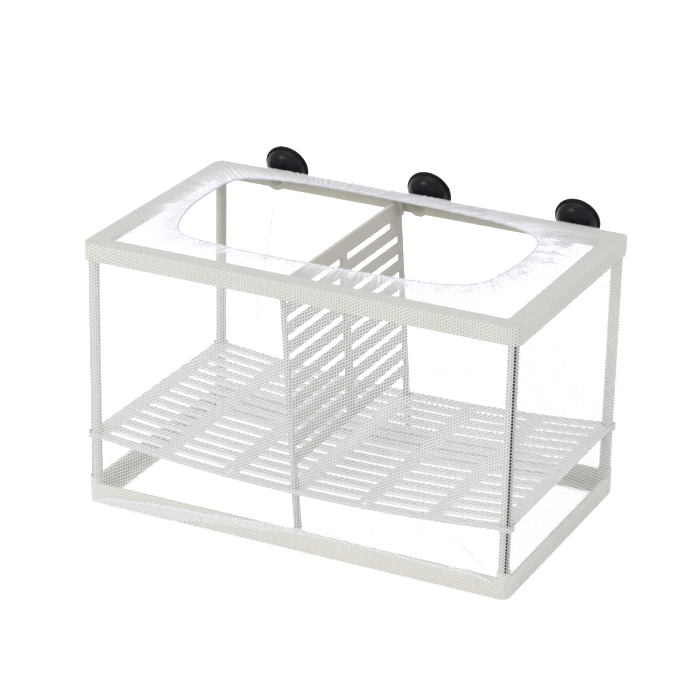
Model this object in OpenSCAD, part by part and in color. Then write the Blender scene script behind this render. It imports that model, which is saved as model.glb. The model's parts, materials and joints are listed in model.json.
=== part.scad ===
// Net fish breeding box. Two moulded frames stand apart on four grooved posts inside a sewn net bag,
// a sagging slotted shelf slides on the posts, a slotted divider stands through the shelf on two legs,
// and three suction cups behind the top frame hold the box to a tank's glass.
// Millimetres. The origin is under the net floor, at the middle of the frames.
// +X runs along the length, +Y towards the glass, +Z up.

/* [Top frame] */
// Length of the top frame, along X
frame_l = 264; // [230:1:320]
// Depth of the top frame, along Y
frame_d = 159; // [140:1:190]
// Height of the top frame's upper face above the origin
frame_top = 160; // [150:1:190]
// Radius of the frames' outer corners
corner_r = 5; // [4:0.5:8]
// Height of the top frame's outer wall
top_wall_h = 10.3; // [9:0.1:14]
// Thickness of the top frame's outer wall
top_wall_t = 1.6; // [1.2:0.1:1.6]
// Width of the top frame's flange, from its outer face
top_flange_w = 11; // [10.5:0.5:14]
// Thickness of the top frame's flange
top_flange_t = 1.6; // [1:0.1:2]

/* [Base frame] */
// How far the base frame's outer face lies inside the top frame's
base_inset = 1; // [0.8:0.1:1.4]
// Height of the base frame
base_h = 12; // [9:0.5:14]
// Thickness of the base frame's wall
base_wall_t = 1.8; // [1.4:0.1:2.2]
// Width of the base frame's flange, from its outer face
base_flange_w = 8.5; // [8:0.5:12]
// Thickness of the base frame's flange
base_flange_t = 2; // [1:0.1:3]

/* [Posts] */
// Diameter of a post
post_dia = 6.4; // [5.6:0.1:7]
// Diameter of the groove's round bottom, down the middle of a post
post_core_dia = 3.4; // [2.4:0.1:4]
// Width of the groove's mouth, on the outward side
post_mouth_w = 2; // [1.2:0.1:2.4]
// Wall of the sockets that hold a post's ends
socket_wall = 0.6; // [0.6:0.05:1]
// How far the sockets lie inside the base frame's outer faces
socket_in = 0.1; // [0.1:0.05:0.5]
// How far the base frame's sockets stand above its wall
socket_rise = 3.2; // [1:0.1:5]
// Depth of the top frame's sockets, under its flange
socket_depth = 7; // [4:0.5:8]

/* [Shelf] */
// Height of the shelf's upper face at its lowest, in the middle
shelf_z = 36.5; // [35:0.5:40]
// How far the shelf's ends rise above its middle
shelf_sag = 7.5; // [4:0.5:9]
// Thickness of the shelf
shelf_t = 2; // [1.4:0.1:2.6]
// Gap from the top frame's outer face to the shelf's edges
shelf_gap = 1.9; // [1.5:0.1:2.5]
// Slots along X on each side of the middle
slot_cols = 3; // [3:1:3]
// Rows of slots along Y
slot_rows = 13; // [11:1:13]
// Width of a shelf slot
slot_w = 5.75; // [4.5:0.25:6]
// Solid border at the shelf's ends
end_border = 8.3; // [8:0.1:10]
// Solid border along the shelf's long edges
side_border = 5.7; // [5.7:0.1:7]
// Width of the webs between columns of slots
web_w = 8.4; // [7:0.2:9]
// Width of the shelf's middle web
mid_web_w = 9.6; // [9.2:0.2:10.4]
// Width of the spare slits for the divider's legs, in the webs beside the middle
spare_slit_w = 3; // [2:0.1:4]
// Height of the shelf's ears
ear_h = 3; // [2.5:0.1:4]
// How far the ears stand above the shelf's face
ear_rise = 0.5; // [0:0.1:1]

/* [Divider] */
// Thickness of the divider
div_t = 2.2; // [1.6:0.1:2.4]
// Gap from the top frame's outer face to the divider's upright edges
div_side_gap = 4; // [3.8:0.1:5]
// Height of the divider's lower edge, above the origin when upright
div_bottom = 50.3; // [50:0.1:54]
// Width of a leg, along Y
leg_w = 5; // [4:0.1:5.4]
// Angle that the divider leans to either side
div_lean = 4.4; // [3:0.1:4.6]
// Height of the line that the divider leans about
div_pivot_z = 31; // [28:0.5:34]
// Rows of slots in the divider
div_rows = 9; // [6:1:9]
// Distance between the divider's rows
div_pitch = 11; // [9:0.1:11.2]
// Height of a divider slot
div_slot_h = 5.2; // [4:0.1:6]
// Solid strip above the top row
div_top_strip = 9.4; // [8:0.1:12]
// Solid strip at the divider's two upright edges
div_side_strip = 3.2; // [2.5:0.1:6]
// Width of the divider's middle strip
div_mid_strip = 6; // [4:0.1:8]
// How much shorter the top row stops at the back
top_row_cut = 9; // [5:0.5:12]
// Radius of the round lugs at the divider's top corners
lug_r = 2.2; // [1.2:0.1:2.4]
// Height of those lugs
lug_h = 8.5; // [6:0.5:9]

/* [Suction cups] */
// Radius of a cup's lip
cup_r = 14; // [11:0.1:15]
// Radius of the dome where it meets the lip
dome_r = 12.6; // [9:0.1:13]
// Distance from the neck's bend to the cup's sealing face, along the cup's axis
cup_reach = 12.4; // [11:0.1:16]
// Depth of the dome behind the lip
cup_depth = 9; // [7:0.5:9.5]
// Thickness of the lip
lip_t = 1.2; // [0.8:0.1:1.6]
// Angle that the soft necks bend upwards
cup_tilt = 16; // [0:1:20]
// Distance from the top frame's outer face to the neck's bend
bend_out = 1.4; // [1:0.1:3]
// Radius of the stud's neck
neck_r = 2.2; // [1.8:0.1:2.3]
// Radius of the button on the stud's inner end
button_r = 2.8; // [2.6:0.1:2.9]
// Thickness of the button
button_t = 1.2; // [1:0.1:1.3]
// Distance from the frame's ends to the outer cups' studs, before they are shifted
cup_end_gap = 38.5; // [36:0.5:50]
// Shift of all the cups from the middle of the frame, to the right
cup_shift = 1.6; // [0:0.1:4]
// Distance from the top flange's underside down to the cup holes
hole_down = 3.1; // [3.1:0.1:4]
// Radius of the wall's round boss about each cup hole
boss_r = 7.2; // [5:0.1:8]

/* [Net bag] */
// Thickness that stands in for the netting
net_t = 0.5; // [0.4:0.1:1]
// Gap between the netting and the frames that it is stretched over
net_gap = 0.3; // [0.2:0.1:0.5]
// Gap from the top flange's inner edge to the left end of the gathered opening
mouth_left_gap = 14; // [2:0.5:30]
// The same gap at the right end
mouth_right_gap = 25.3; // [2:0.1:30]
// The same gap at the front
mouth_front_gap = 21; // [2:0.5:25]
// The same gap at the back
mouth_back_gap = 2; // [1.5:0.1:6]
// Corner radius at the opening's front
mouth_front_r = 34; // [28:1:40]
// Corner radius at the opening's back
mouth_back_r = 18; // [14:1:24]
// Radius of the elastic cord in the hem
band_r = 0.9; // [0.7:0.1:1.1]

/* [Clearances] */
// Gap between a post and its sockets
socket_gap = 0.1; // [0.05:0.05:0.2]
// Gap between a post and the shelf's ears
slide_gap = 0.3; // [0.2:0.05:0.4]
// Gap from the shelf's ears to the top frame's outer line, and from a cup's button to the wall
side_gap = 0.2; // [0.1:0.05:0.3]
// Gap left above and below the upright divider, and round a leg in its slit
div_gap = 0.3; // [0.2:0.05:0.5]
// Radial gap between a cup's neck and its hole
neck_gap = 0.08; // [0.03:0.01:0.1]

/* [Hidden] */
$fn = 96;
eps = 0.01;
past = 1;              // how far a cutter runs past the face that it cuts
flange_in_r = 2;       // corner radius inside the flanges
lug_sides = 32;

// Frames and posts
post_r = post_dia / 2;
socket_r = post_r + socket_gap + socket_wall;
post_in = base_inset + socket_in + socket_r;
post_x = frame_l / 2 - post_in;
post_y = frame_d / 2 - post_in;
base_z = net_t + net_gap;
base_l = frame_l - 2 * base_inset;
base_d = frame_d - 2 * base_inset;
base_r = corner_r - base_inset / 2;
base_top = base_z + base_h;
base_seat = base_z + base_flange_t;
top_wall_z = frame_top - top_wall_h;
top_seat = frame_top - top_flange_t;

// Shelf
shelf_x = frame_l / 2 - shelf_gap;
shelf_y = frame_d / 2 - shelf_gap;
sag_r = (shelf_x * shelf_x + shelf_sag * shelf_sag) / (2 * shelf_sag);
function sag_z(x) = shelf_z + sag_r - sqrt(sag_r * sag_r - x * x);
sag_sides = 1440;      // fine enough for the sag's long radius
slot_l = (shelf_x - end_border - mid_web_w / 2 - (slot_cols - 1) * web_w) / slot_cols;
slot_pitch = (2 * (shelf_y - side_border) - slot_w) / (slot_rows - 1);
col_first = mid_web_w / 2 + slot_l / 2;
col_pitch = slot_l + web_w;
ear_r = post_in - side_gap;
ear_top = sag_z(post_x) + ear_rise;
slit_len = leg_w + 2 * div_gap;
div_half = frame_d / 2 - div_side_gap;
slit_y = div_half - leg_w / 2;
slit_reach = max(shelf_z - div_pivot_z, div_pivot_z - base_top) * sin(div_lean);
slit_w = div_t + 2 * div_gap + 2 * slit_reach;

// Divider, drawn upright and then leant about its pivot line
div_top = top_seat - div_gap;
leg_foot = base_seat + div_gap;
row_top = div_top - div_top_strip;

// Suction cups. Along the stud, 0 is the outer face of the top frame's wall; along the cup, the neck's bend
cup_pitch = frame_l / 2 - cup_end_gap;
cup_z = top_seat - hole_down;
cup_y = frame_d / 2;
button_out = -top_wall_t - side_gap;
lip_w = 1;
lip_slope = 0.4;       // fall of the lip's back towards its edge
dome_start = cup_reach - cup_depth;
dome_steps = 10;
hollow_depth = 4.2;

// Net bag
net_l = frame_l + 2 * (net_gap + net_t);
net_d = frame_d + 2 * (net_gap + net_t);
net_r = corner_r + net_gap + net_t;
collar_z = frame_top + net_gap;
mouth_left = -frame_l / 2 + top_flange_w + mouth_left_gap;
mouth_right = frame_l / 2 - top_flange_w - mouth_right_gap;
mouth_front = -frame_d / 2 + top_flange_w + mouth_front_gap;
mouth_back = frame_d / 2 - top_flange_w - mouth_back_gap;
mouth_gap = band_r + net_gap;
band_z = collar_z + net_t / 2;
cup_hole_r = neck_r + net_gap + net_t;

// Rounded rectangle with true arcs
module plate2d(l, d, r) {
    square([l - 2 * r, d], center = true);
    square([l, d - 2 * r], center = true);
    for (sx = [-1, 1], sy = [-1, 1])
        translate([sx * (l / 2 - r), sy * (d / 2 - r)]) circle(r);
}

// Upright ring of width w inside a rounded rectangle
module frame_ring(l, d, r, w, inner_r, z, h) {
    translate([0, 0, z])
        linear_extrude(h)
            difference() {
                plate2d(l, d, r);
                plate2d(l - 2 * w, d - 2 * w, inner_r);
            }
}

// The four post positions
module at_posts() {
    for (sx = [-1, 1], sy = [-1, 1])
        translate([sx * post_x, sy * post_y, 0]) children();
}

// Stud axis of the cup that stands at x, pointing towards the glass
module on_stud(x) {
    translate([x, cup_y, cup_z]) rotate([-90, 0, 0]) children();
}

module at_cups() {
    for (i = [-1:1]) on_stud(cup_shift + i * cup_pitch) children();
}

module top_frame() color([0.87, 0.86, 0.83])
    difference() {
        union() {
            frame_ring(frame_l, frame_d, corner_r, top_wall_t, corner_r - top_wall_t,
                       top_wall_z, top_wall_h);
            frame_ring(frame_l, frame_d, corner_r, top_flange_w, flange_in_r, top_seat, top_flange_t);
            at_posts()
                translate([0, 0, top_seat - socket_depth])
                    cylinder(r = socket_r, h = socket_depth + top_flange_t / 2);
            intersection() {
                at_cups() translate([0, 0, -top_wall_t]) cylinder(r = boss_r, h = top_wall_t);
                translate([-frame_l / 2, 0, cup_z - 2 * boss_r])
                    cube([frame_l, frame_d, top_seat - cup_z + 2 * boss_r]);
            }
        }
        at_posts()
            translate([0, 0, top_seat - socket_depth - past])
                cylinder(r = post_r + socket_gap, h = socket_depth + past);
        at_cups()
            translate([0, 0, -top_wall_t - past])
                cylinder(r = neck_r + neck_gap, h = top_wall_t + 2 * past);
    }

module base_frame() color([0.87, 0.86, 0.83])
    difference() {
        union() {
            frame_ring(base_l, base_d, base_r, base_wall_t, base_r - base_wall_t, base_z, base_h);
            frame_ring(base_l, base_d, base_r, base_flange_w, flange_in_r, base_z, base_flange_t);
            at_posts()
                translate([0, 0, base_seat - base_flange_t / 2])
                    cylinder(r = socket_r, h = base_top + socket_rise - base_seat + base_flange_t / 2);
        }
        at_posts()
            translate([0, 0, base_seat])
                cylinder(r = post_r + socket_gap, h = base_top + socket_rise - base_seat + past);
    }

// Post with its groove towards the outward corner
module post(sx, sy) color([0.87, 0.86, 0.84])
    translate([sx * post_x, sy * post_y, base_seat])
        rotate([0, 0, atan2(sy, sx)])
            linear_extrude(top_seat - base_seat)
                difference() {
                    circle(post_r);
                    circle(post_core_dia / 2);
                    translate([0, -post_mouth_w / 2]) square([post_r + past, post_mouth_w]);
                }

// Slab between two coaxial cylinders, lowest in the middle
module sagging_slab() {
    translate([0, 0, shelf_z + sag_r])
        rotate([90, 0, 0])
            difference() {
                cylinder(r = sag_r + shelf_t, h = 2 * shelf_y, center = true, $fn = sag_sides);
                cylinder(r = sag_r, h = 2 * shelf_y + past, center = true, $fn = sag_sides);
            }
}

module shelf_slots() {
    tall = shelf_sag + 3 * shelf_t;
    for (side = [-1, 1], c = [0:slot_cols - 1], r = [0:slot_rows - 1])
        translate([side * (col_first + c * col_pitch), (r - (slot_rows - 1) / 2) * slot_pitch,
                   shelf_z + shelf_sag / 2])
            cube([slot_l, slot_w, tall], center = true);
    for (sy = [-1, 1]) {
        translate([0, sy * slit_y, shelf_z]) cube([slit_w, slit_len, tall], center = true);
        for (sx = [-1, 1])
            translate([sx * (col_first + col_pitch / 2), sy * slit_y, shelf_z])
                cube([spare_slit_w, slit_len, tall], center = true);
    }
}

module shelf() color([0.86, 0.86, 0.86])
    difference() {
        union() {
            difference() {
                intersection() {
                    sagging_slab();
                    translate([0, 0, shelf_z - 2 * shelf_t])
                        linear_extrude(shelf_sag + 4 * shelf_t)
                            plate2d(2 * shelf_x, 2 * shelf_y, corner_r);
                }
                shelf_slots();
            }
            at_posts() translate([0, 0, ear_top - ear_h]) cylinder(r = ear_r, h = ear_h);
        }
        at_posts()
            translate([0, 0, ear_top - 2 * ear_h])
                cylinder(r = post_r + slide_gap, h = 4 * ear_h);
    }

// Slots of one side of the divider, lying in the YZ plane
module divider_slots(side) {
    slot_len = div_half - div_side_strip - div_mid_strip / 2;
    for (r = [0:div_rows - 1]) {
        cut = (r == 0 && side > 0) ? top_row_cut : 0;
        translate([-div_t, side > 0 ? div_mid_strip / 2 : -div_mid_strip / 2 - slot_len,
                   row_top - r * div_pitch - div_slot_h])
            cube([2 * div_t, slot_len - cut, div_slot_h]);
    }
}

module divider_upright() {
    difference() {
        union() {
            translate([-div_t / 2, -div_half, div_bottom])
                cube([div_t, 2 * div_half, div_top - div_bottom]);
            for (sy = [-1, 1])
                translate([-div_t / 2, sy * slit_y - leg_w / 2, leg_foot])
                    cube([div_t, leg_w, div_bottom - leg_foot + past]);
        }
        for (side = [-1, 1]) divider_slots(side);
    }
    for (sy = [-1, 1])
        translate([div_t / 2, sy * (div_half - lug_r - div_gap), div_top - lug_h])
            cylinder(r = lug_r, h = lug_h, $fn = lug_sides);
}

module divider() color([0.80, 0.78, 0.76])
    translate([0, 0, div_pivot_z])
        rotate([0, -div_lean, 0])
            translate([0, 0, -div_pivot_z]) divider_upright();

// Half section of a suction cup: radius against distance along its axis
function dome_points() = [for (i = [0:dome_steps])
    let (a = 90 * i / dome_steps)
    [neck_r + (dome_r - neck_r) * sin(a), dome_start + (cup_depth - lip_t) * (1 - cos(a))]];
function lip_points() = [[cup_r, dome_start + cup_depth - lip_t + lip_slope], [cup_r, cup_reach]];
function hollow_points() = [for (i = [0:dome_steps])
    let (a = 90 * i / dome_steps)
    [(cup_r - lip_w) * cos(a), cup_reach - hollow_depth * sin(a)]];

module suction_cup(x) color([0.12, 0.12, 0.13])
    on_stud(x) {
        translate([0, 0, button_out - button_t]) cylinder(r = button_r, h = button_t);
        translate([0, 0, button_out - button_t / 2])
            cylinder(r = neck_r, h = bend_out - button_out + button_t / 2);
        translate([0, 0, bend_out]) sphere(r = neck_r);
        translate([0, 0, bend_out])
            rotate([cup_tilt, 0, 0])
                rotate_extrude()
                    polygon(concat([[0, 0], [neck_r, 0]], dome_points(), lip_points(), hollow_points()));
    }

module net_floor() color([0.93, 0.94, 0.97])
    linear_extrude(net_t) plate2d(net_l, net_d, net_r);

// Long flat panel between the rounded corners
module net_long_wall(sy) {
    translate([-(net_l / 2 - net_r), sy > 0 ? net_d / 2 - net_t : -net_d / 2, net_t])
        cube([net_l - 2 * net_r, net_t, collar_z - net_t]);
}

module net_wall_front() color([0.93, 0.94, 0.97]) net_long_wall(-1);

module net_wall_back() color([0.93, 0.94, 0.97])
    difference() {
        net_long_wall(1);
        at_cups() cylinder(r = cup_hole_r, h = net_gap + net_t + past);
    }

// End panel with its two rounded corners
module net_end_wall(sx) {
    intersection() {
        frame_ring(net_l, net_d, net_r, net_t, net_r - net_t, net_t, collar_z - net_t);
        translate([sx > 0 ? net_l / 2 - net_r : -net_l / 2, -net_d / 2, 0])
            cube([net_r, net_d, collar_z]);
    }
}

module net_wall_left() color([0.93, 0.94, 0.97]) net_end_wall(-1);

module net_wall_right() color([0.93, 0.94, 0.97]) net_end_wall(1);

// Outline of the gathered opening, let out by grow
module mouth2d(grow) {
    left = mouth_left - grow;
    right = mouth_right + grow;
    front = mouth_front - grow;
    back = mouth_back + grow;
    rf = mouth_front_r + grow;
    rb = mouth_back_r + grow;
    translate([left + rf, front]) square([right - left - 2 * rf, back - front]);
    translate([left, front + rf]) square([right - left, back - front - rf - rb]);
    translate([left + rb, back - rb - eps]) square([right - left - 2 * rb, rb + eps]);
    for (x = [left + rf, right - rf]) translate([x, front + rf]) circle(rf);
    for (x = [left + rb, right - rb]) translate([x, back - rb]) circle(rb);
}

module net_collar() color([0.93, 0.94, 0.97])
    translate([0, 0, collar_z])
        linear_extrude(net_t)
            difference() {
                plate2d(net_l, net_d, net_r);
                mouth2d(mouth_gap);
            }

// Straight run of the elastic between two points, and a quarter bend round a corner's centre
module band_run(from, to) {
    run = to - from;
    translate([from[0], from[1], band_z])
        rotate([0, 90, atan2(run[1], run[0])]) cylinder(r = band_r, h = norm(run));
}

module band_bend(centre, r, start) {
    translate([centre[0], centre[1], band_z])
        rotate([0, 0, start]) rotate_extrude(angle = 90) translate([r, 0]) circle(band_r, $fn = lug_sides);
}

module elastic_band() color([0.84, 0.85, 0.88]) {
    rf = mouth_front_r;
    rb = mouth_back_r;
    band_run([mouth_left + rf, mouth_front], [mouth_right - rf, mouth_front]);
    band_run([mouth_right, mouth_front + rf], [mouth_right, mouth_back - rb]);
    band_run([mouth_right - rb, mouth_back], [mouth_left + rb, mouth_back]);
    band_run([mouth_left, mouth_back - rb], [mouth_left, mouth_front + rf]);
    band_bend([mouth_left + rf, mouth_front + rf], rf, 180);
    band_bend([mouth_right - rf, mouth_front + rf], rf, 270);
    band_bend([mouth_right - rb, mouth_back - rb], rb, 0);
    band_bend([mouth_left + rb, mouth_back - rb], rb, 90);
}

top_frame();
base_frame();
post(-1, -1);  // post_front_left
post(1, -1);  // post_front_right
post(-1, 1);  // post_back_left
post(1, 1);  // post_back_right
shelf();
divider();
suction_cup(cup_shift - cup_pitch);  // suction_cup_left
suction_cup(cup_shift);  // suction_cup_middle
suction_cup(cup_shift + cup_pitch);  // suction_cup_right
net_floor();
net_wall_front();
net_wall_back();
net_wall_left();
net_wall_right();
net_collar();
elastic_band();
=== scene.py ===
import json
import math

import bpy
import numpy as np
from mathutils import Matrix, Vector


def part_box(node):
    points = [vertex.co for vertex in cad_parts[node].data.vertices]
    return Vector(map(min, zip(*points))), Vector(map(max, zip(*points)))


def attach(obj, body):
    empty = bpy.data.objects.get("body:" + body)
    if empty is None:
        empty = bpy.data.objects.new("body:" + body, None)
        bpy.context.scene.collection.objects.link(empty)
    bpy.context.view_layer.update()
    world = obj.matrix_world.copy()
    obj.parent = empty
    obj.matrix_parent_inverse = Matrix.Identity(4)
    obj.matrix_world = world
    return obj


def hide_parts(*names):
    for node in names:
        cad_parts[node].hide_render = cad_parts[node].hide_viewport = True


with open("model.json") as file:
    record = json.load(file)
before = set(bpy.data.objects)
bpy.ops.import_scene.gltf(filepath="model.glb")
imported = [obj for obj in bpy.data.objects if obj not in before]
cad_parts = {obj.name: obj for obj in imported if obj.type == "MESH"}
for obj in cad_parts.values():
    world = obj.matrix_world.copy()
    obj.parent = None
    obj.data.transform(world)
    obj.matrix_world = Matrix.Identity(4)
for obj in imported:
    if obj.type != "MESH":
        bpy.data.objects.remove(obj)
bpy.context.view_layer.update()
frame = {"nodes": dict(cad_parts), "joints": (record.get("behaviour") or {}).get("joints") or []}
mm = 0.001
print("frame loaded")


# Linear red, green, blue and alpha from an sRGB hex colour
def fromHex(code):
    parts = [int(code[i:i + 2], 16) / 255 for i in (0, 2, 4)]
    return [c / 12.92 if c <= 0.04045 else ((c + 0.055) / 1.055) ** 2.4 for c in parts] + [1.0]


# A node with its settings. Each of its sockets takes a value, another socket, or another node for that
# node's first working output.
def addNode(tree, kind, sockets=None, **settings):
    node = tree.nodes.new("ShaderNode" + kind)
    for key, value in settings.items():
        setattr(node, key, value)
    for key, value in (sockets or {}).items():
        if isinstance(value, bpy.types.Node):
            value = next(output for output in value.outputs if output.enabled)
        if isinstance(value, bpy.types.NodeSocket):
            tree.links.new(value, node.inputs[key])
        else:
            node.inputs[key].default_value = value
    return node


def newMaterial(name):
    material = bpy.data.materials.new(name)
    material.use_nodes = True
    material.node_tree.nodes.clear()
    return material, material.node_tree


# Scale of a noise whose grains are the given size
def perMetre(sizeMm):
    return 1 / (sizeMm * mm)


# 1 on the walls of a grille's slots, where painted light goes, 0 on its faces and less than edgeMm from its
# outline
def slotWalls(tree, place, high, edgeMm):
    facing = addNode(tree, "SeparateXYZ", {0: place.outputs["Normal"]})
    level = addNode(tree, "Math", {0: facing.outputs["Z"]}, operation="ABSOLUTE")
    walls = addNode(tree, "Math", {0: 1.0, 1: level}, operation="SUBTRACT")
    fromMiddle = addNode(tree, "VectorMath", {0: place.outputs["Object"]}, operation="ABSOLUTE")
    away = addNode(tree, "SeparateXYZ", {0: fromMiddle})
    for key, reach in (("X", high[0]), ("Y", high[1])):
        clear = addNode(tree, "Math", {0: away.outputs[key], 1: reach - edgeMm * mm},
                        operation="LESS_THAN")
        walls = addNode(tree, "Math", {0: walls, 1: clear}, operation="MULTIPLY")
    return walls


# 0 in a post's groove, where painted shade goes, less than the given radius from the post's axis, and
# 1 on its round. The four posts mirror each other, so that one axis serves them all.
def roundOfPost(tree, place, axis, grooveMm):
    mirrored = addNode(tree, "VectorMath", {0: place.outputs["Object"]}, operation="ABSOLUTE")
    fromAxis = addNode(tree, "VectorMath", {0: mirrored, 1: axis}, operation="SUBTRACT")
    level = addNode(tree, "VectorMath", {0: fromAxis, 1: (1.0, 1.0, 0.0)}, operation="MULTIPLY")
    radius = addNode(tree, "VectorMath", {0: level}, operation="LENGTH")
    return addNode(tree, "Math", {0: radius, 1: grooveMm * mm}, operation="GREATER_THAN")


# Moulded polypropylene: satin off-white, very slightly mottled, with a fine orange-peel skin that is
# drawn coarse enough to catch the light. A grille's slot walls can be painted paler, as painted light,
# and a post's groove painted dark, as painted shade. These two need the node's box.
def mouldedPolypropylene(name, look, box=None):
    material, tree = newMaterial(name)
    place = addNode(tree, "TexCoord")
    mottle = addNode(tree, "TexNoise", {"Vector": place.outputs["Object"],
                                        "Scale": perMetre(look["mottleMm"]), "Detail": 3.0})
    colour = addNode(tree, "Mix", {"Factor": mottle, "A": fromHex(look["dark"]),
                                   "B": fromHex(look["light"])}, data_type="RGBA")
    # The slot walls are painted paler: painted light in place of the shade inside the slots.
    if "slots" in look:
        walls = slotWalls(tree, place, box[1], look["edgeMm"])
        colour = addNode(tree, "Mix", {"Factor": walls, "A": colour, "B": fromHex(look["slots"])},
                         data_type="RGBA")
    # A post's groove is painted dark: painted shade where the groove's own shadow falls.
    if "groove" in look:
        outside = roundOfPost(tree, place, (box[0] + box[1]) / 2, look["grooveMm"])
        colour = addNode(tree, "Mix", {"Factor": outside, "A": fromHex(look["groove"]), "B": colour},
                         data_type="RGBA")
    peel = addNode(tree, "TexNoise", {"Vector": place.outputs["Object"],
                                      "Scale": perMetre(look["peelMm"]), "Detail": 2.0})
    rough = addNode(tree, "MapRange", {"Value": peel, "To Min": look["rough"] - look["uneven"],
                                       "To Max": look["rough"] + look["uneven"]})
    bump = addNode(tree, "Bump", {"Height": peel, "Strength": look["peel"],
                                  "Distance": look["peelDepthMm"] * mm})
    skin = addNode(tree, "BsdfPrincipled", {"Base Color": colour, "Roughness": rough,
                                            "IOR": look["ior"], "Normal": bump})
    addNode(tree, "OutputMaterial", {"Surface": skin})
    return material


mouldedLook = {"mottleMm": 30, "peelMm": 0.7, "peelDepthMm": 0.02, "peel": 0.25, "rough": 0.5,
               "uneven": 0.05, "ior": 1.49}
frameLook = {**mouldedLook, "dark": "c4c1b5", "light": "ccc9be"}
# The base is drawn paler than the top frame: painted light that offsets the shade near the floor.
baseLightenedLook = {**mouldedLook, "dark": "d0cdc1", "light": "d8d5ca"}
capLook = {**mouldedLook, "dark": "aaa698", "light": "b4b0a2", "peel": 0.2}
# The shelf's slot-wall colour is painted light.
shelfLook = {**mouldedLook, "dark": "c8c7c3", "light": "d0cfcb", "slots": "f0f0ed", "edgeMm": 4.0,
             "peel": 0.2, "rough": 0.48}
dividerLook = {**mouldedLook, "dark": "b5b1a9", "light": "bebab2", "peel": 0.2, "rough": 0.48}
# The post's groove colour is painted shade.
postLook = {**mouldedLook, "dark": "c2bfb4", "light": "cac7bc", "groove": "423f3c", "grooveMm": 2.95,
            "peelMm": 0.9, "peel": 0.1, "rough": 0.45}
framePlastic = mouldedPolypropylene("moulded polypropylene frame", frameLook)
baseLightenedPlastic = mouldedPolypropylene("moulded polypropylene base, painted lighter", baseLightenedLook)
capPlastic = mouldedPolypropylene("moulded polypropylene caps", capLook)
shelfPlastic = mouldedPolypropylene("moulded polypropylene shelf, slot walls with painted light", shelfLook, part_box("shelf"))
dividerPlastic = mouldedPolypropylene("moulded polypropylene divider", dividerLook)
postPlastic = mouldedPolypropylene("extruded polypropylene post", postLook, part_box("post_back_right"))


# Moulded black rubber: deep black with a soft shine, bloomed a little grey in patches
def mouldedRubber(name, look):
    material, tree = newMaterial(name)
    place = addNode(tree, "TexCoord").outputs["Object"]
    bloom = addNode(tree, "TexNoise", {"Vector": place, "Scale": perMetre(look["bloomMm"]),
                                       "Detail": 4.0})
    grain = addNode(tree, "TexNoise", {"Vector": place, "Scale": perMetre(look["grainMm"]),
                                       "Detail": 2.0})
    colour = addNode(tree, "Mix", {"Factor": bloom, "A": fromHex(look["dark"]),
                                   "B": fromHex(look["light"])}, data_type="RGBA")
    rough = addNode(tree, "MapRange", {"Value": bloom, "To Min": look["rough"] - look["uneven"],
                                       "To Max": look["rough"] + look["uneven"]})
    bump = addNode(tree, "Bump", {"Height": grain, "Strength": look["grain"],
                                  "Distance": look["grainDepthMm"] * mm})
    skin = addNode(tree, "BsdfPrincipled", {"Base Color": colour, "Roughness": rough,
                                            "IOR": look["ior"], "Specular IOR Level": look["shine"],
                                            "Normal": bump})
    addNode(tree, "OutputMaterial", {"Surface": skin})
    return material


rubberLook = {"dark": "111116", "light": "1a1a20", "bloomMm": 6, "grainMm": 0.5, "grainDepthMm": 0.02,
              "grain": 0.25, "rough": 0.24, "uneven": 0.06, "shine": 0.14, "ior": 1.52}
cupRubber = mouldedRubber("moulded black rubber", rubberLook)


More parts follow.
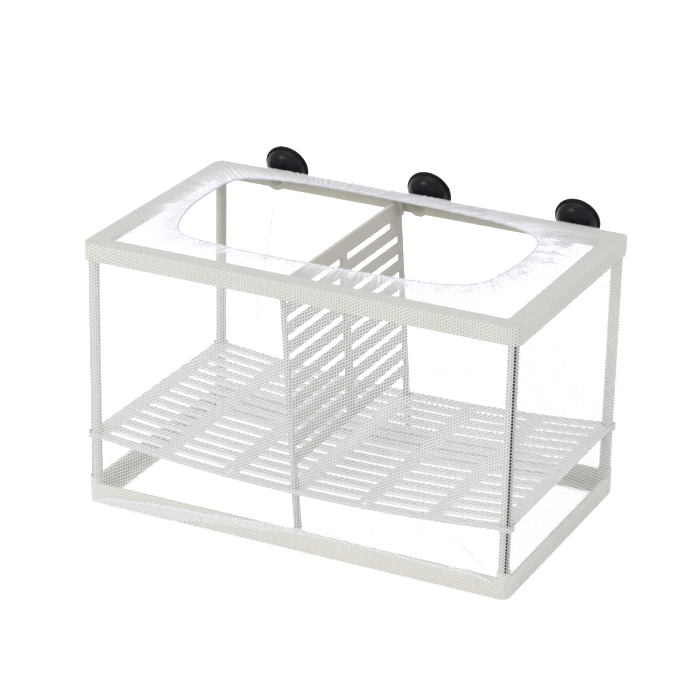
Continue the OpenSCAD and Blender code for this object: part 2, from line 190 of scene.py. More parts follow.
# Knitted nylon netting: round holes in a honeycomb, fine pale threads between them, and a painted tone
# where the cloth lies in folds, standing in for the folds' light and shade. The holes are drawn a little
# coarser than real ones, so that they show.
# The map "threads" holds metres along the cloth, and "crowding" says how tightly it is gathered:
# 0 where it is flat, 1 in a fold, and below 0 where it is pulled so flat that it hardly shows.
def knittedNetting(name, look):
    material, tree = newMaterial(name)
    along = addNode(tree, "UVMap", uv_map="threads")
    pitch = look["pitchMm"] * mm
    inCells = addNode(tree, "VectorMath", {0: along, 1: (pitch * math.sqrt(3), pitch, 1.0)},
                      operation="DIVIDE")
    apart = []        # how many pitches away the nearest hole of each of two interleaved grids is
    for shift in (0.0, 0.5):
        moved = addNode(tree, "VectorMath", {0: inCells, 1: (shift, shift, 0.0)}, operation="ADD")
        spot = addNode(tree, "VectorMath", {0: moved}, operation="FRACTION")
        centred = addNode(tree, "VectorMath", {0: spot, 1: (0.5, 0.5, 0.0)}, operation="SUBTRACT")
        inPitches = addNode(tree, "VectorMath", {0: centred, 1: (math.sqrt(3), 1.0, 0.0)},
                            operation="MULTIPLY")
        apart.append(addNode(tree, "VectorMath", {0: inPitches}, operation="LENGTH"))
    nearest = addNode(tree, "Math", {0: apart[0], 1: apart[1]}, operation="MINIMUM")
    crowding = addNode(tree, "Attribute", attribute_name="crowding").outputs["Fac"]
    hole = addNode(tree, "Math", {0: crowding, 1: -look["closing"], 2: look["hole"]},
                   operation="MULTIPLY_ADD")
    past = addNode(tree, "Math", {0: nearest, 1: hole}, operation="SUBTRACT")
    thread = addNode(tree, "MapRange", {"Value": past, "From Min": -look["edge"], "From Max": look["edge"]})
    solid = addNode(tree, "Math", {0: crowding, 1: look["thicker"], 2: look["solid"]},
                    operation="MULTIPLY_ADD", use_clamp=True)
    cover = addNode(tree, "Math", {0: thread, 1: solid}, operation="MULTIPLY")
    noise = addNode(tree, "TexNoise", {"Vector": along, "Scale": perMetre(look["cloudMm"]), "Detail": 2.0})
    cloud = addNode(tree, "Math", {0: noise, 1: look["cloud"]}, operation="MULTIPLY")
    # Painted shade and light of the folds: the more crowded the cloth, the more its threads take of the
    # folded colour.
    shaded = addNode(tree, "Math", {0: crowding, 1: look["shade"], 2: cloud},
                     operation="MULTIPLY_ADD", use_clamp=True)
    colour = addNode(tree, "Mix", {"Factor": shaded, "A": fromHex(look["light"]),
                                   "B": fromHex(look["paintedFoldTone"])}, data_type="RGBA")
    face = addNode(tree, "BsdfPrincipled", {"Base Color": colour, "Roughness": look["rough"],
                                            "IOR": look["ior"]})
    through = addNode(tree, "BsdfTranslucent", {"Color": colour})
    cloth = addNode(tree, "MixShader", {0: look["glow"], 1: face, 2: through})
    gap = addNode(tree, "BsdfTransparent")
    addNode(tree, "OutputMaterial", {"Surface": addNode(tree, "MixShader", {0: cover, 1: gap, 2: cloth})})
    return material


# Each look's colour for folded cloth is painted: a bluish painted shade in the walls, the seam and the
# creases, and a paler painted light in the gathered collar.
netLook = {"pitchMm": 1.9, "hole": 0.42, "closing": 0.2, "edge": 0.04, "solid": 1.0, "thicker": 0.1,
           "cloudMm": 9, "cloud": 0.2, "shade": 0.8, "glow": 0.3, "rough": 0.6, "ior": 1.53,
           "light": "fbfbfc", "paintedFoldTone": "dcdcea"}
# The doubled seam's threads are whiter than the walls': painted light that offsets the shade at the base.
doubledLitLook = {**netLook, "light": "ffffff", "paintedFoldTone": "f4f4ff"}
# The collar's threads are greyer than the walls' where it lies flat, as painted shade, and paler where it
# is gathered, as painted light.
collarLook = {**netLook, "pitchMm": 1.45, "closing": 0.36, "light": "e0e0e3", "paintedFoldTone": "f4f4fb"}
# Creased netting is darker than the walls': painted shade in the creases.
creaseShadeLook = {**netLook, "hole": 0.2, "light": "dedfe4", "paintedFoldTone": "c8c9d2"}
netting = knittedNetting("knitted nylon netting", netLook)
doubledLitNetting = knittedNetting("knitted nylon netting, doubled, painted lighter", doubledLitLook)
collarNetting = knittedNetting("knitted nylon netting, gathered", collarLook)
creaseShadedNetting = knittedNetting("knitted nylon netting, creased, with painted shade", creaseShadeLook)


# Round elastic in a doubled nylon hem: dense pale cloth, puckered along the cord, with painted shade in the
# pucker's hollows
def hemmedElastic(name, look):
    material, tree = newMaterial(name)
    place = addNode(tree, "TexCoord").outputs["Object"]
    pucker = addNode(tree, "TexNoise", {"Vector": place, "Scale": perMetre(look["puckerMm"]),
                                        "Detail": 3.0})
    # Painted shade: the cloth is darker where the pucker's bump is low.
    colour = addNode(tree, "Mix", {"Factor": pucker, "A": fromHex(look["dark"]),
                                   "B": fromHex(look["light"])}, data_type="RGBA")
    bump = addNode(tree, "Bump", {"Height": pucker, "Strength": look["pucker"],
                                  "Distance": look["puckerDepthMm"] * mm})
    skin = addNode(tree, "BsdfPrincipled", {"Base Color": colour, "Roughness": look["rough"],
                                            "IOR": look["ior"], "Normal": bump})
    addNode(tree, "OutputMaterial", {"Surface": skin})
    return material


hemLook = {"dark": "c2c2ca", "light": "d4d4db", "puckerMm": 1.4, "puckerDepthMm": 0.2, "pucker": 0.6,
           "rough": 0.7, "ior": 1.5}
hemCloth = hemmedElastic("elastic in a nylon hem, with painted shade", hemLook)

cadFinish = {"top_frame": framePlastic, "base_frame": baseLightenedPlastic, "shelf": shelfPlastic,
             "divider": dividerPlastic}
for node in frame["nodes"]:
    if node.startswith("post_"):
        cadFinish[node] = postPlastic
    elif node.startswith("suction_cup_"):
        cadFinish[node] = cupRubber
for node, material in cadFinish.items():
    data = frame["nodes"][node].data
    data.materials.clear()
    data.materials.append(material)
print("materials done")


# A mesh object. Netting also gets its map of the threads, in metres, and how crowded they are.
def addMesh(name, points, faces, material, uvs=None, crowding=None, smooth=True):
    mesh = bpy.data.meshes.new(name)
    mesh.from_pydata([tuple(p) for p in points], [], [tuple(int(i) for i in f) for f in faces])
    if uvs is not None:
        layer = mesh.uv_layers.new(name="threads")
        corner = np.zeros(len(mesh.loops), int)
        mesh.loops.foreach_get("vertex_index", corner)
        layer.data.foreach_set("uv", np.asarray(uvs, float)[corner].ravel())
        amount = np.zeros(len(points)) if crowding is None else np.asarray(crowding, float)
        mesh.attributes.new("crowding", "FLOAT", "POINT").data.foreach_set("value", amount)
    if smooth:
        mesh.shade_smooth()
    mesh.materials.append(material)
    mesh.update()
    obj = bpy.data.objects.new(name, mesh)
    bpy.context.collection.objects.link(obj)
    return obj


# Four-sided faces of a sheet whose points lie in rows
def gridFaces(rows, cols):
    index = np.arange(rows * cols).reshape(rows, cols)
    return np.stack([index[:-1, :-1], index[:-1, 1:], index[1:, 1:], index[1:, :-1]], -1).reshape(-1, 4)


def lengthsAlong(line):
    return np.concatenate([[0], np.cumsum(np.linalg.norm(np.diff(line, axis=0), axis=1))])


# The line with evenly spaced points, by their distance or by their count
def resample(line, step=None, count=None):
    run = lengthsAlong(line)
    count = count or max(int(run[-1] / step), 2) + 1
    at = np.linspace(0, run[-1], count)
    return np.stack([np.interp(at, run, line[:, k]) for k in range(line.shape[1])], -1)


# Counter-clockwise rounded rectangle from the middle of its front side, evenly stepped
def roundedLoop(length, depth, radius, step):
    x, y, r = length / 2, depth / 2, radius
    turn = np.linspace(0, math.pi / 2, 9)
    parts = [np.array([[0, -y]])]
    for cx, cy, start in ((x - r, -y + r, -math.pi / 2), (x - r, y - r, 0.0),
                          (-x + r, y - r, math.pi / 2), (-x + r, -y + r, math.pi)):
        parts.append(np.stack([cx + r * np.cos(start + turn), cy + r * np.sin(start + turn)], -1))
    parts.append(np.array([[0, -y]]))
    return resample(np.concatenate(parts), step)


# Outward direction at each point of a counter-clockwise closed line
def outwardOf(loop):
    ahead = np.roll(loop[:-1], -1, 0) - np.roll(loop[:-1], 1, 0)
    ahead = np.concatenate([ahead, ahead[:1]])
    normal = np.stack([ahead[:, 1], -ahead[:, 0]], -1)
    return normal / np.linalg.norm(normal, axis=1)[:, None]


# Five seeded waves of about the given size along a closed line, added up, the same at both its ends
def ripple(run, sizeMm, seed):
    local = np.random.default_rng(seed)
    total = np.zeros_like(run)
    for _ in range(5):
        waves = max(round(run[-1] / (sizeMm * local.uniform(0.6, 1.6))), 1)
        total += np.sin(2 * math.pi * waves * run / run[-1] + local.uniform(0, 2 * math.pi))
    return total / math.sqrt(5)


# The bag's line round the frames: this far outside each, with this radius at its corners
bag = {"offMm": 0.5, "cornerMm": 5.5}


# Length and depth in millimetres of the cloth round a frame
def clothRound(node):
    low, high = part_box(node)
    return [round((high[k] - low[k]) / mm + 2 * bag["offMm"], 2) for k in (0, 1)]


bagLength, bagDepth = clothRound("top_frame")

# The net's walls: one strip of cloth round the frames, drawn in a little towards the base and turned in
# over the top frame's edge
wall = {"baseInset": 0.5, "stepMm": 2.0, "frameFoot": 150.0, "baseTop": 13.0,
        "slackMm": 0.12, "waveMm": 45, "waveZ": 31, "turnFrom": 159.6, "turnIn": 0.35,
        "heights": [0.3, 1.5, 6, 12.8, 14, 24, 36, 50, 66, 82, 98, 114, 130, 144, 149.5, 152, 156, 159.6,
                    160.3]}
loop = roundedLoop(bagLength, bagDepth, bag["cornerMm"], wall["stepMm"])
outward = outwardOf(loop)
runMm = lengthsAlong(loop)
waves = ripple(runMm, wall["waveMm"], seed=3)
points, uvs = [], []
for z in wall["heights"]:
    climbed = min(max((z - wall["baseTop"]) / (wall["frameFoot"] - wall["baseTop"]), 0), 1)
    slack = wall["slackMm"] * math.sin(math.pi * climbed) * (2 + waves * math.cos(z / wall["waveZ"]))
    inset = wall["baseInset"] * (1 - climbed) + max(z - wall["turnFrom"], 0) * wall["turnIn"]
    ring = loop + outward * (slack - inset)[:, None]
    points.append(np.column_stack([ring, np.full(len(ring), z)]))
    uvs.append(np.column_stack([runMm, np.full(len(ring), z)]))
netWall = addMesh("net_wall", np.concatenate(points) * mm, gridFaces(len(wall["heights"]), len(loop)),
                  netting, np.concatenate(uvs) * mm)
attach(netWall, "box")
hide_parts("net_wall_front", "net_wall_back", "net_wall_left", "net_wall_right")

# The bag's bottom seam, turned up as a second layer over the base frame's front: a band that climbs from
# the left corner's foot to the base's top edge and runs on along it to the right corner. Its outlines
# are (x, z) in millimetres.
seam = {"off": 0.3, "stepMm": 2.0, "rows": 5, "slant": 0.35, "waveMm": 0.3, "crowding": 0.2, "edge": 0.9,
        "low": [(-126, 0.3), (-78, 0.4), (-57, 5.2), (-17, 8.5), (-2, 11.4), (30, 12.6), (86, 11.9),
                (112, 11.9), (124, 9)],
        "high": [(-126, 2.5), (-115, 6.6), (-90, 9), (-40, 11.8), (-17, 13.8), (6, 15.4), (26, 16.4),
                 (44, 14.6), (92, 13.4), (104, 14.6), (115, 13.6), (124, 10)]}
seamX = np.arange(seam["low"][0][0], seam["low"][-1][0] + 0.1, seam["stepMm"])
seamWave = seam["waveMm"] * np.sin(seamX / 5) * np.cos(seamX / 17)
seamLow = np.interp(seamX, *np.array(seam["low"]).T)
seamHigh = np.interp(seamX, *np.array(seam["high"]).T) + seamWave
seamY = -(bagDepth / 2 - wall["baseInset"] + seam["off"])
points, crowd = [], []
for row in range(seam["rows"]):
    z = seamLow + (seamHigh - seamLow) * row / (seam["rows"] - 1)
    points.append(np.column_stack([seamX, np.full_like(seamX, seamY), z]))
    crowd.append(np.full_like(seamX, seam["edge"] if row == seam["rows"] - 1 else seam["crowding"]))
points = np.concatenate(points)
slanted = np.column_stack([points[:, 0] + seam["slant"] * points[:, 2],
                           points[:, 2] - seam["slant"] * points[:, 0]])
# The seam is drawn in whiter netting: painted light against the shade at the base.
netSeam = addMesh("net_seam", points * mm, gridFaces(seam["rows"], len(seamX)), doubledLitNetting,
                  slanted * mm, np.concatenate(crowd))
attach(netSeam, "box")


# Narrow strips of cloth, stored together until they become one mesh
def newStrips():
    return {"points": [], "uvs": [], "crowd": [], "faces": []}


# A strip between two lines, with its threads laid so that it runs between two columns of holes
def addStrip(store, left, right, crowd):
    solidAt = netLook["pitchMm"] * math.sqrt(3) / 4
    run = lengthsAlong(left)
    start = len(store["points"])
    for k in range(len(left)):
        half = np.linalg.norm(right[k] - left[k]) / 2
        store["points"] += [left[k], right[k]]
        store["uvs"] += [(solidAt - half, run[k]), (solidAt + half, run[k])]
        store["crowd"] += [crowd[k], crowd[k]]
        if k:
            n = start + 2 * k
            store["faces"].append((n - 2, n - 1, n + 1, n))


def stripMesh(name, store, material):
    return addMesh(name, np.array(store["points"]) * mm, store["faces"], material,
                   np.array(store["uvs"]) * mm, store["crowd"])


# Folds that the stretched walls keep, just inside the back wall and just outside the front one, drawn
# as strips of denser cloth with painted shade: (width in mm, crowding, points) each, thinner towards both
# ends
back = bagDepth / 2 - 0.7
front = -bagDepth / 2 - 0.1
folds = {
    "from the left cup": (0.55, 0.15, [(-93, back, 147), (-94.9, back, 131), (-101.9, back, 84),
                                      (-107.8, back, 50)]),
    "beside it": (0.4, 0.1, [(-92, back, 147), (-91, back, 128), (-95, back, 96)]),
    "right corner": (0.5, 0.5, [(98, front, 32.5), (109, front, 25.3), (116.4, front, 19.2),
                                (123, front, 12)]),
    "corner foot": (0.6, 0.4, [(104, front, 15.2), (114, front, 14.4), (122, front, 11)]),
    "corner side": (0.5, 0.4, [(121, front, 12.5), (125, front, 9), (130, front, 7.5)]),
}
strips = newStrips()
for width, crowded, line in folds.values():
    line = resample(np.array(line, float), step=3)
    taper = width * np.sin(np.linspace(0.15, math.pi - 0.15, len(line))) ** 0.4
    away = np.column_stack([np.zeros((len(line), 2)), taper / 2])
    upright = abs(line[-1, 2] - line[0, 2]) > abs(line[-1, 0] - line[0, 0])
    away = away[:, [2, 1, 0]] if upright else away
    addStrip(strips, line - away, line + away, np.full(len(line), crowded))
netFolds = stripMesh("net_folds", strips, creaseShadedNetting)
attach(netFolds, "box")
print("net wall done")

# The net's floor, pulled flat under the base frame, with waves too low to see
floorNet = {"cols": 133, "rows": 80, "z": 0.35, "waveMm": 0.12, "crowding": -1.15}
floorLength, floorDepth = clothRound("base_frame")
gx, gy = np.meshgrid(np.linspace(-0.5, 0.5, floorNet["cols"]) * floorLength,
                     np.linspace(-0.5, 0.5, floorNet["rows"]) * floorDepth)
gz = floorNet["z"] + floorNet["waveMm"] * np.sin(gx / 17) * np.sin(gy / 13)
netFloor = addMesh("net_floor_cloth", np.column_stack([gx.ravel(), gy.ravel(), gz.ravel()]) * mm,
                   gridFaces(floorNet["rows"], floorNet["cols"]), netting,
                   np.column_stack([gx.ravel(), gy.ravel()]) * mm, np.full(gx.size, floorNet["crowding"]))
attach(netFloor, "box")
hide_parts("net_floor")
print("net floor done")

# The hem of the opening, as a closed outline of (x, y) in millimetres, and the four places on it that
# the seams from the frame's corners run to
hem = {"z": 160.6, "cordMm": 0.55, "cordSides": 10, "waveMm": 0.12, "outline": [
    (-102.2, -18), (-92.5, -39.2), (-78, -46), (-42, -49.2), (25, -47.5), (73.5, -41.2), (88.8, -29.2),
    (94, -5), (94.9, 20), (91.5, 42), (80, 53.5), (57.9, 60.6), (11, 65), (-60, 66), (-91.6, 60.6),
    (-104, 53), (-107.6, 38), (-107, 6)],
    "corners": [(-92.5, -39.2), (88.8, -29.2), (86, 49.5), (-104, 53)]}


# Smooth closed curve through the points
def smoothLoop(outline):
    ring = np.array(outline, float)
    count = len(ring)
    t = np.linspace(0, 1, 24, endpoint=False)[:, None]
    spans = []
    for i in range(count):
        before, start, end, after = (ring[(i + k) % count] for k in (-1, 0, 1, 2))
        chord = np.linalg.norm(end - start)
        leave = (end - before) / (chord + np.linalg.norm(start - before)) * chord
        arrive = (after - start) / (chord + np.linalg.norm(after - end)) * chord
        spans.append((2 * t ** 3 - 3 * t ** 2 + 1) * start + (t ** 3 - 2 * t ** 2 + t) * leave
                     + (3 * t ** 2 - 2 * t ** 3) * end + (t ** 3 - t ** 2) * arrive)
    line = np.concatenate(spans)
    return resample(np.concatenate([line, line[:1]]), step=0.5)


# Splits a closed line at the points nearest four corners and steps each side by its own count
def bySides(line, corners, counts):
    opened = line[:-1]
    at = [int(np.argmin(np.linalg.norm(opened - np.array(c), axis=1))) for c in corners]
    sides = []
    for k in range(4):
        a, b = at[k], at[(k + 1) % 4]
        side = opened[a:b + 1] if b > a else np.concatenate([opened[a:], opened[:b + 1]])
        sides.append(resample(side, count=counts[k])[:-1])
    whole = np.concatenate(sides)
    return np.concatenate([whole, whole[:1]])


# The gathered collar, from the top frame's rim in to the hem. Each list of three is an amount along the
# opening's front, what its two ends add, and what its back adds.
collar = {"rimZ": 160.35, "rise": 0.25, "stepMm": 0.7, "rows": 30, "rowsTowardsHem": 1.25,
          "pleatMm": 5.4, "pleatHeightMm": 0.95, "pleatShiftMm": 0.45, "pleatStrayMm": 23,
          "finePleatMm": 3, "streakMm": 3.2, "wrinkleMm": 2.2, "gatherMm": 4,
          "denseMm": [4.5, 5, 14], "streakReachMm": [5, 9, 6], "wrinkle": [0.12, 0, 0.25],
          "least": 0.05, "most": 0.95,
          "blotch": {"x": -117.0, "y": -6.0, "sizeMm": 4.0, "crowding": 0.45}}
sideCounts = [int(side / collar["stepMm"]) for side in (bagLength, bagDepth) * 2]
rx, ry = bagLength / 2, bagDepth / 2
outerRing = bySides(roundedLoop(bagLength, bagDepth, bag["cornerMm"], 0.4),
                    [(-rx, -ry), (rx, -ry), (rx, ry), (-rx, ry)], sideCounts)
hemRing = bySides(smoothLoop(hem["outline"]), hem["corners"], sideCounts)
clothRun = lengthsAlong(outerRing)
reach = np.linalg.norm(outerRing - hemRing, axis=1)
inward = (hemRing - outerRing) / reach[:, None]
sideways = np.stack([-inward[:, 1], inward[:, 0]], -1)
atEnds = np.abs(inward[:, 0]) ** 1.5        # 1 at the opening's two ends, 0 along its front and back
atBack = np.clip(-inward[:, 1], 0, 1) ** 2


# A list of three as the amounts all along the cloth
def byPlace(amounts):
    return amounts[0] + amounts[1] * atEnds + amounts[2] * atBack


pleats = round(clothRun[-1] / collar["pleatMm"])
phase = 2 * math.pi * pleats * clothRun / clothRun[-1]
phase = phase + 1.5 * ripple(clothRun, collar["pleatStrayMm"], seed=5)
pleat = 0.7 * np.sin(phase) + 0.3 * ripple(clothRun, collar["finePleatMm"], seed=8)
streak = np.clip(0.5 + 0.5 * ripple(clothRun, collar["streakMm"], seed=11), 0, 1) ** 2
spread = byPlace(collar["denseMm"]) + streak * byPlace(collar["streakReachMm"])
fine = ripple(clothRun, collar["wrinkleMm"], seed=31)
blotch = collar["blotch"]
points, uvs, crowd = [], [], []
for row in range(collar["rows"]):
    t = 1 - (1 - row / (collar["rows"] - 1)) ** collar["rowsTowardsHem"]
    fromHem = reach * (1 - t)
    gathered = np.exp(-(fromHem / (spread + collar["gatherMm"])) ** 1.6)        # 1 at the hem, 0 far out
    height = collar["pleatHeightMm"] * gathered * pleat * (1 - 0.55 * np.exp(-fromHem / 0.9))
    flat = outerRing + inward * (reach * t)[:, None]
    flat = flat + sideways * (collar["pleatShiftMm"] * gathered * np.sin(phase))[:, None]
    z = collar["rimZ"] + collar["rise"] * t + 0.1 + np.abs(height) * 0.9 + height * 0.3
    points.append(np.column_stack([flat, z]))
    uvs.append(np.column_stack([clothRun, reach * t]))
    dense = np.exp(-(fromHem / spread) ** 1.5) * (0.45 + 0.55 * streak)
    wrinkle = np.roll(fine, 2 * row) * byPlace(collar["wrinkle"]) * gathered
    dense = np.clip(dense + 0.3 * gathered * np.abs(pleat) + wrinkle, 0, 1.1)
    fromBlotch = np.hypot(flat[:, 0] - blotch["x"], flat[:, 1] - blotch["y"]) / blotch["sizeMm"]
    crowd.append(collar["least"] + (collar["most"] - collar["least"]) * dense
                 + blotch["crowding"] * np.exp(-fromBlotch ** 2))
netCollar = addMesh("net_collar_cloth", np.concatenate(points) * mm,
                    gridFaces(collar["rows"], len(outerRing)), collarNetting,
                    np.concatenate(uvs) * mm, np.concatenate(crowd))
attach(netCollar, "box")
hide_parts("net_collar")


# Tube along a closed line
def tubeMesh(name, line, radius, sides, material):
    ring = line[:-1]
    ahead = np.roll(ring, -1, 0) - np.roll(ring, 1, 0)
    ahead /= np.linalg.norm(ahead, axis=1)[:, None]
    side = np.cross(ahead, (0, 0, 1.0))
    side /= np.linalg.norm(side, axis=1)[:, None]
    up = np.cross(side, ahead)
    angle = np.linspace(0, 2 * math.pi, sides, endpoint=False)
    spokes = np.cos(angle)[None, :, None] * side[:, None] + np.sin(angle)[None, :, None] * up[:, None]
    rows = ring[:, None] + radius * spokes
    n = len(ring)
    i, j = np.meshgrid(np.arange(n), np.arange(sides), indexing="ij")
    a, b = i * sides + j, i * sides + (j + 1) % sides
    c, d = ((i + 1) % n) * sides + (j + 1) % sides, ((i + 1) % n) * sides + j
    return addMesh(name, rows.reshape(-1, 3) * mm, np.stack([a, b, c, d], -1).reshape(-1, 4), material)


hemLine = resample(hemRing, step=0.9)
hemWave = hem["waveMm"] * ripple(lengthsAlong(hemLine), 7, seed=21)
hemCord = tubeMesh("hem_cord", np.column_stack([hemLine, hem["z"] + hemWave]), hem["cordMm"],
                   hem["cordSides"], hemCloth)
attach(hemCord, "box")
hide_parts("elastic_band")

# Creases in the gathered cloth, drawn as strips of denser cloth with painted shade: fine lines that run
# out from the hem, and tufts of short ones further out at the right end
crease = {"lines": 110, "lineMm": (3.0, 14.0), "tufts": 30, "hairs": 7, "hairMm": (2.0, 6.0),
          "widthMm": 0.24, "leanRad": 0.25, "steps": 5}
rng = np.random.default_rng(7)
strips = newStrips()
along = np.linspace(0, 1, crease["steps"])[:, None]
creased = np.flatnonzero(rng.random(len(atEnds)) < (0.25 + 0.75 * atEnds) * (1 - atBack))
rightEnd = creased[hemRing[creased, 0] > 10]


# One crease from the hem's point i, starting fromHem mm out and aside mm along it
def addCrease(i, fromHem, aside, length, crowded):
    lean = rng.normal(0, crease["leanRad"])
    way = -inward[i] * math.cos(lean) + sideways[i] * math.sin(lean)
    across = np.array([-way[1], way[0]])
    start = hemRing[i] - inward[i] * fromHem + sideways[i] * aside
    centre = start + way * length * along + across * (rng.normal(0, 0.08) * length * along ** 2)
    half = crease["widthMm"] / 2 * (1 - 0.6 * along) * rng.uniform(0.7, 1.4)
    rise = hem["z"] + 0.5 + 0.5 * np.sin(math.pi * np.minimum(along + 0.15, 1)) * rng.uniform(0.5, 1.0)
    addStrip(strips, np.column_stack([centre - across * half, rise - 0.1]),
             np.column_stack([centre + across * half, rise + 0.1]), crowded * (1 - 0.5 * along[:, 0]))


for i in rng.choice(creased, crease["lines"]):
    longest = min(crease["lineMm"][1] * (0.45 + 0.55 * atEnds[i]), reach[i] - 3)
    addCrease(i, rng.uniform(0.3, 1.5), 0.0, max(crease["lineMm"][0], longest * rng.beta(1.4, 1.8)), 0.5)
for i in rng.choice(rightEnd, crease["tufts"]):
    tuftAt = min((5 + 6 * atEnds[i]) * rng.uniform(0.8, 1.3), reach[i] - 5)
    for _ in range(crease["hairs"]):
        addCrease(i, tuftAt + rng.normal(0, 1.6), rng.normal(0, 2.4), rng.uniform(*crease["hairMm"]),
                  rng.uniform(0.5, 1.0))
creases = stripMesh("net_creases", strips, creaseShadedNetting)
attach(creases, "box")
print("collar done")

# Where each suction cup turns on the top frame, in millimetres
cupPlaces = {joint["child"]: np.array(joint["pos_m"]) / mm for joint in frame["joints"]
             if joint["name"].startswith("cup_spin_")}

# Round caps moulded inside the top frame's back wall, over the inner ends of the cups' studs: half a
# section as (radius, y), turned about each cup's axis
studCap = {"sides": 28, "section": [(3.9, 77.9), (3.75, 76.6), (3.3, 76.05), (0.2, 75.9), (0.2, 76.2),
                                    (3.1, 76.3), (3.4, 76.9), (3.5, 77.9)]}


# Closed ring of faces from a half section turned about the line at x and z along Y
def turnedMesh(name, section, x, z, sides, material):
    angle = np.linspace(0, 2 * math.pi, sides, endpoint=False)
    points = [(x + r * math.cos(a), y, z + r * math.sin(a)) for a in angle for r, y in section]
    n = len(section)
    faces = []
    for i in range(sides):
        for j in range(n):
            a, b = i * n + j, i * n + (j + 1) % n
            faces.append((a, b, ((i + 1) % sides) * n + (j + 1) % n, ((i + 1) % sides) * n + j))
    return addMesh(name, np.array(points) * mm, faces, material)


for cup, (x, _, z) in cupPlaces.items():
    cap = turnedMesh(cup.replace("suction_cup", "stud_cap"), studCap["section"], x, z, studCap["sides"],
                     capPlastic)
    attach(cap, "box")
print("stud caps done")

# Mould nibs on the suction cups' lips: (cup, angle round the lip in degrees). A cup tilts up by tiltDeg
# at its neck's bend, and its lip is a circle of lipMm about the tilted axis, reachMm along it.
nib = {"lengthMm": 1.0, "widthMm": 1.5, "thickMm": 0.5, "lipMm": 13.7, "reachMm": 11.8, "tiltDeg": 16,
       "bendMm": 1.4, "sides": 8, "rows": (0.0, 0.35, 0.7, 1.0),
       "at": [("suction_cup_left", 100), ("suction_cup_middle", 54), ("suction_cup_middle", 22)]}


def nibMesh(name, place, angle):
    tilt = math.radians(nib["tiltDeg"])
    axis = np.array([0, math.cos(tilt), math.sin(tilt)])
    up = np.array([0, -math.sin(tilt), math.cos(tilt)])
    out = math.cos(angle) * np.array([1.0, 0, 0]) + math.sin(angle) * up
    side = np.cross(axis, out)
    centre = place + (0, nib["bendMm"], 0) + axis * nib["reachMm"] + out * nib["lipMm"]
    points = []
    for part in nib["rows"]:
        narrow = math.sqrt(1 - 0.8 * part * part)
        for turn in np.linspace(0, 2 * math.pi, nib["sides"], endpoint=False):
            points.append(centre + out * nib["lengthMm"] * part
                          + side * nib["widthMm"] / 2 * narrow * math.cos(turn)
                          + axis * nib["thickMm"] / 2 * narrow * math.sin(turn))
    n = nib["sides"]
    faces = []
    for k in range(len(nib["rows"]) - 1):
        for j in range(n):
            faces.append((n * k + j, n * k + (j + 1) % n, n * k + n + (j + 1) % n, n * k + n + j))
    faces.append(tuple(range(len(points) - n, len(points))))
    faces.append(tuple(reversed(range(n))))
    return addMesh(name, np.array(points) * mm, faces, cupRubber)


for number, (cup, degrees) in enumerate(nib["at"], 1):
    piece = nibMesh(f"cup_nib_{number}", cupPlaces[cup], math.radians(degrees))
    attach(piece, cup)
print("cup nibs done")

# Studio: white surround that lights a little more from the left, and a white paper floor
studio = {"sky": "fdfdff", "ambient": 0.82, "fromLeft": 0.12, "white": "ffffff", "paper": "f4f4f4",
          "paperGlow": 0.65, "halfSize": 3.0, "floorMm": -0.4}


# 1 for the rays that see the background, 0 for those that light the object
def seenRays(tree):
    path = addNode(tree, "LightPath")
    seen = addNode(tree, "Math", {0: path.outputs["Is Camera Ray"], 1: path.outputs["Is Glossy Ray"]},
                   operation="ADD", use_clamp=True)
    return addNode(tree, "Math", {0: seen, 1: path.outputs["Is Transmission Ray"]}, operation="ADD",
                   use_clamp=True)


world = bpy.data.worlds.new("studio")
bpy.context.scene.world = world
world.use_nodes = True
tree = world.node_tree
tree.nodes.clear()
direction = addNode(tree, "SeparateXYZ", {0: addNode(tree, "TexCoord").outputs["Generated"]})
strength = addNode(tree, "Math", {0: direction.outputs["X"], 1: -studio["ambient"] * studio["fromLeft"],
                                  2: studio["ambient"]}, operation="MULTIPLY_ADD")
ambient = addNode(tree, "Background", {"Color": fromHex(studio["sky"]), "Strength": strength})
white = addNode(tree, "Background", {"Color": fromHex(studio["white"]), "Strength": 1.0})
addNode(tree, "OutputWorld", {"Surface": addNode(tree, "MixShader", {0: seenRays(tree), 1: ambient,
                                                                     2: white})})

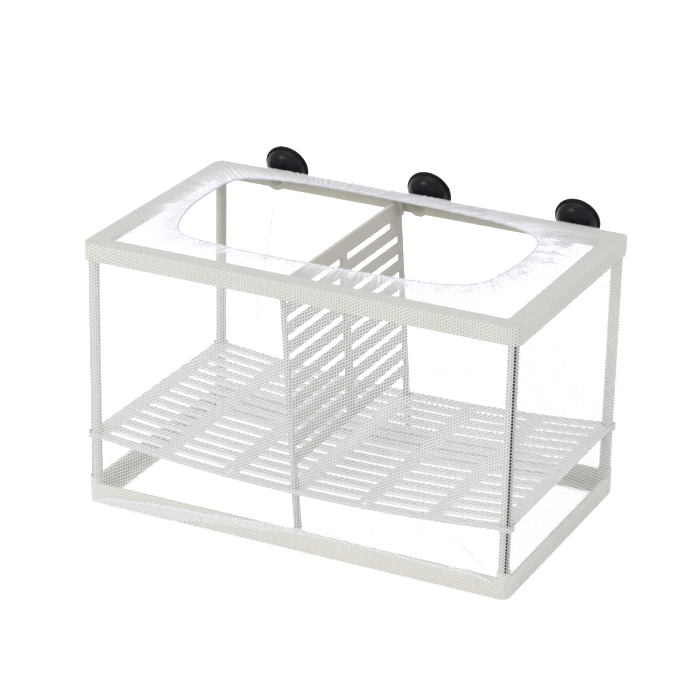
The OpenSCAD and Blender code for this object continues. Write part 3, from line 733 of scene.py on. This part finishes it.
floorMaterial, tree = newMaterial("white studio paper")
paper = addNode(tree, "BsdfDiffuse", {"Color": fromHex(studio["paper"])})
glow = addNode(tree, "Math", {0: seenRays(tree), 1: studio["paperGlow"]}, operation="MULTIPLY")
lit = addNode(tree, "Emission", {"Color": fromHex(studio["white"]), "Strength": glow})
addNode(tree, "OutputMaterial", {"Surface": addNode(tree, "AddShader", {0: paper, 1: lit})})
edge, low = studio["halfSize"], studio["floorMm"] * mm
floor = addMesh("floor", [(-edge, -edge, low), (edge, -edge, low), (edge, edge, low), (-edge, edge, low)],
                [(0, 1, 2, 3)], floorMaterial, smooth=False)

# Soft lamps, all turned to the middle of the box: (place in metres, size in metres, watts)
lampAim = Vector((0, 0, 0.08))
lamps = {"overhead": ((0.0, -0.1, 1.3), (0.9, 0.6), 2.7),
         "front left": ((-0.7, -1.2, 1.0), (0.6, 0.6), 7.2),
         "right": ((1.5, 0.1, 0.8), (0.35, 0.35), 1.4)}
for name, (place, size, watts) in lamps.items():
    lamp = bpy.data.lights.new(name, "AREA")
    lamp.shape = "RECTANGLE"
    lamp.size, lamp.size_y = size
    lamp.energy = watts
    lampObject = bpy.data.objects.new(name, lamp)
    bpy.context.collection.objects.link(lampObject)
    lampObject.location = place
    lampObject.rotation_euler = (lampAim - Vector(place)).to_track_quat("-Z", "Y").to_euler()

# The camera: turned to the left from looking along Y, tipped down, and rolled about its own axis
view = {"place": (0.651334, -1.367009, 0.733742), "turnDeg": 25.5958, "downDeg": 22.9619,
        "rollDeg": 1.1958, "lensMm": 148.77, "sensorMm": 36}
camera = bpy.data.cameras.new("camera")
camera.sensor_width = view["sensorMm"]
camera.lens = view["lensMm"]
camera.clip_start, camera.clip_end = 0.05, 30
cameraObject = bpy.data.objects.new("camera", camera)
bpy.context.collection.objects.link(cameraObject)
cameraObject.matrix_world = (Matrix.Translation(view["place"])
                             @ Matrix.Rotation(math.radians(view["turnDeg"]), 4, "Z")
                             @ Matrix.Rotation(math.radians(90 - view["downDeg"]), 4, "X")
                             @ Matrix.Rotation(math.radians(view["rollDeg"]), 4, "Z"))
bpy.context.scene.camera = cameraObject
bpy.context.scene.view_settings.view_transform = "Standard"
print("stage done")
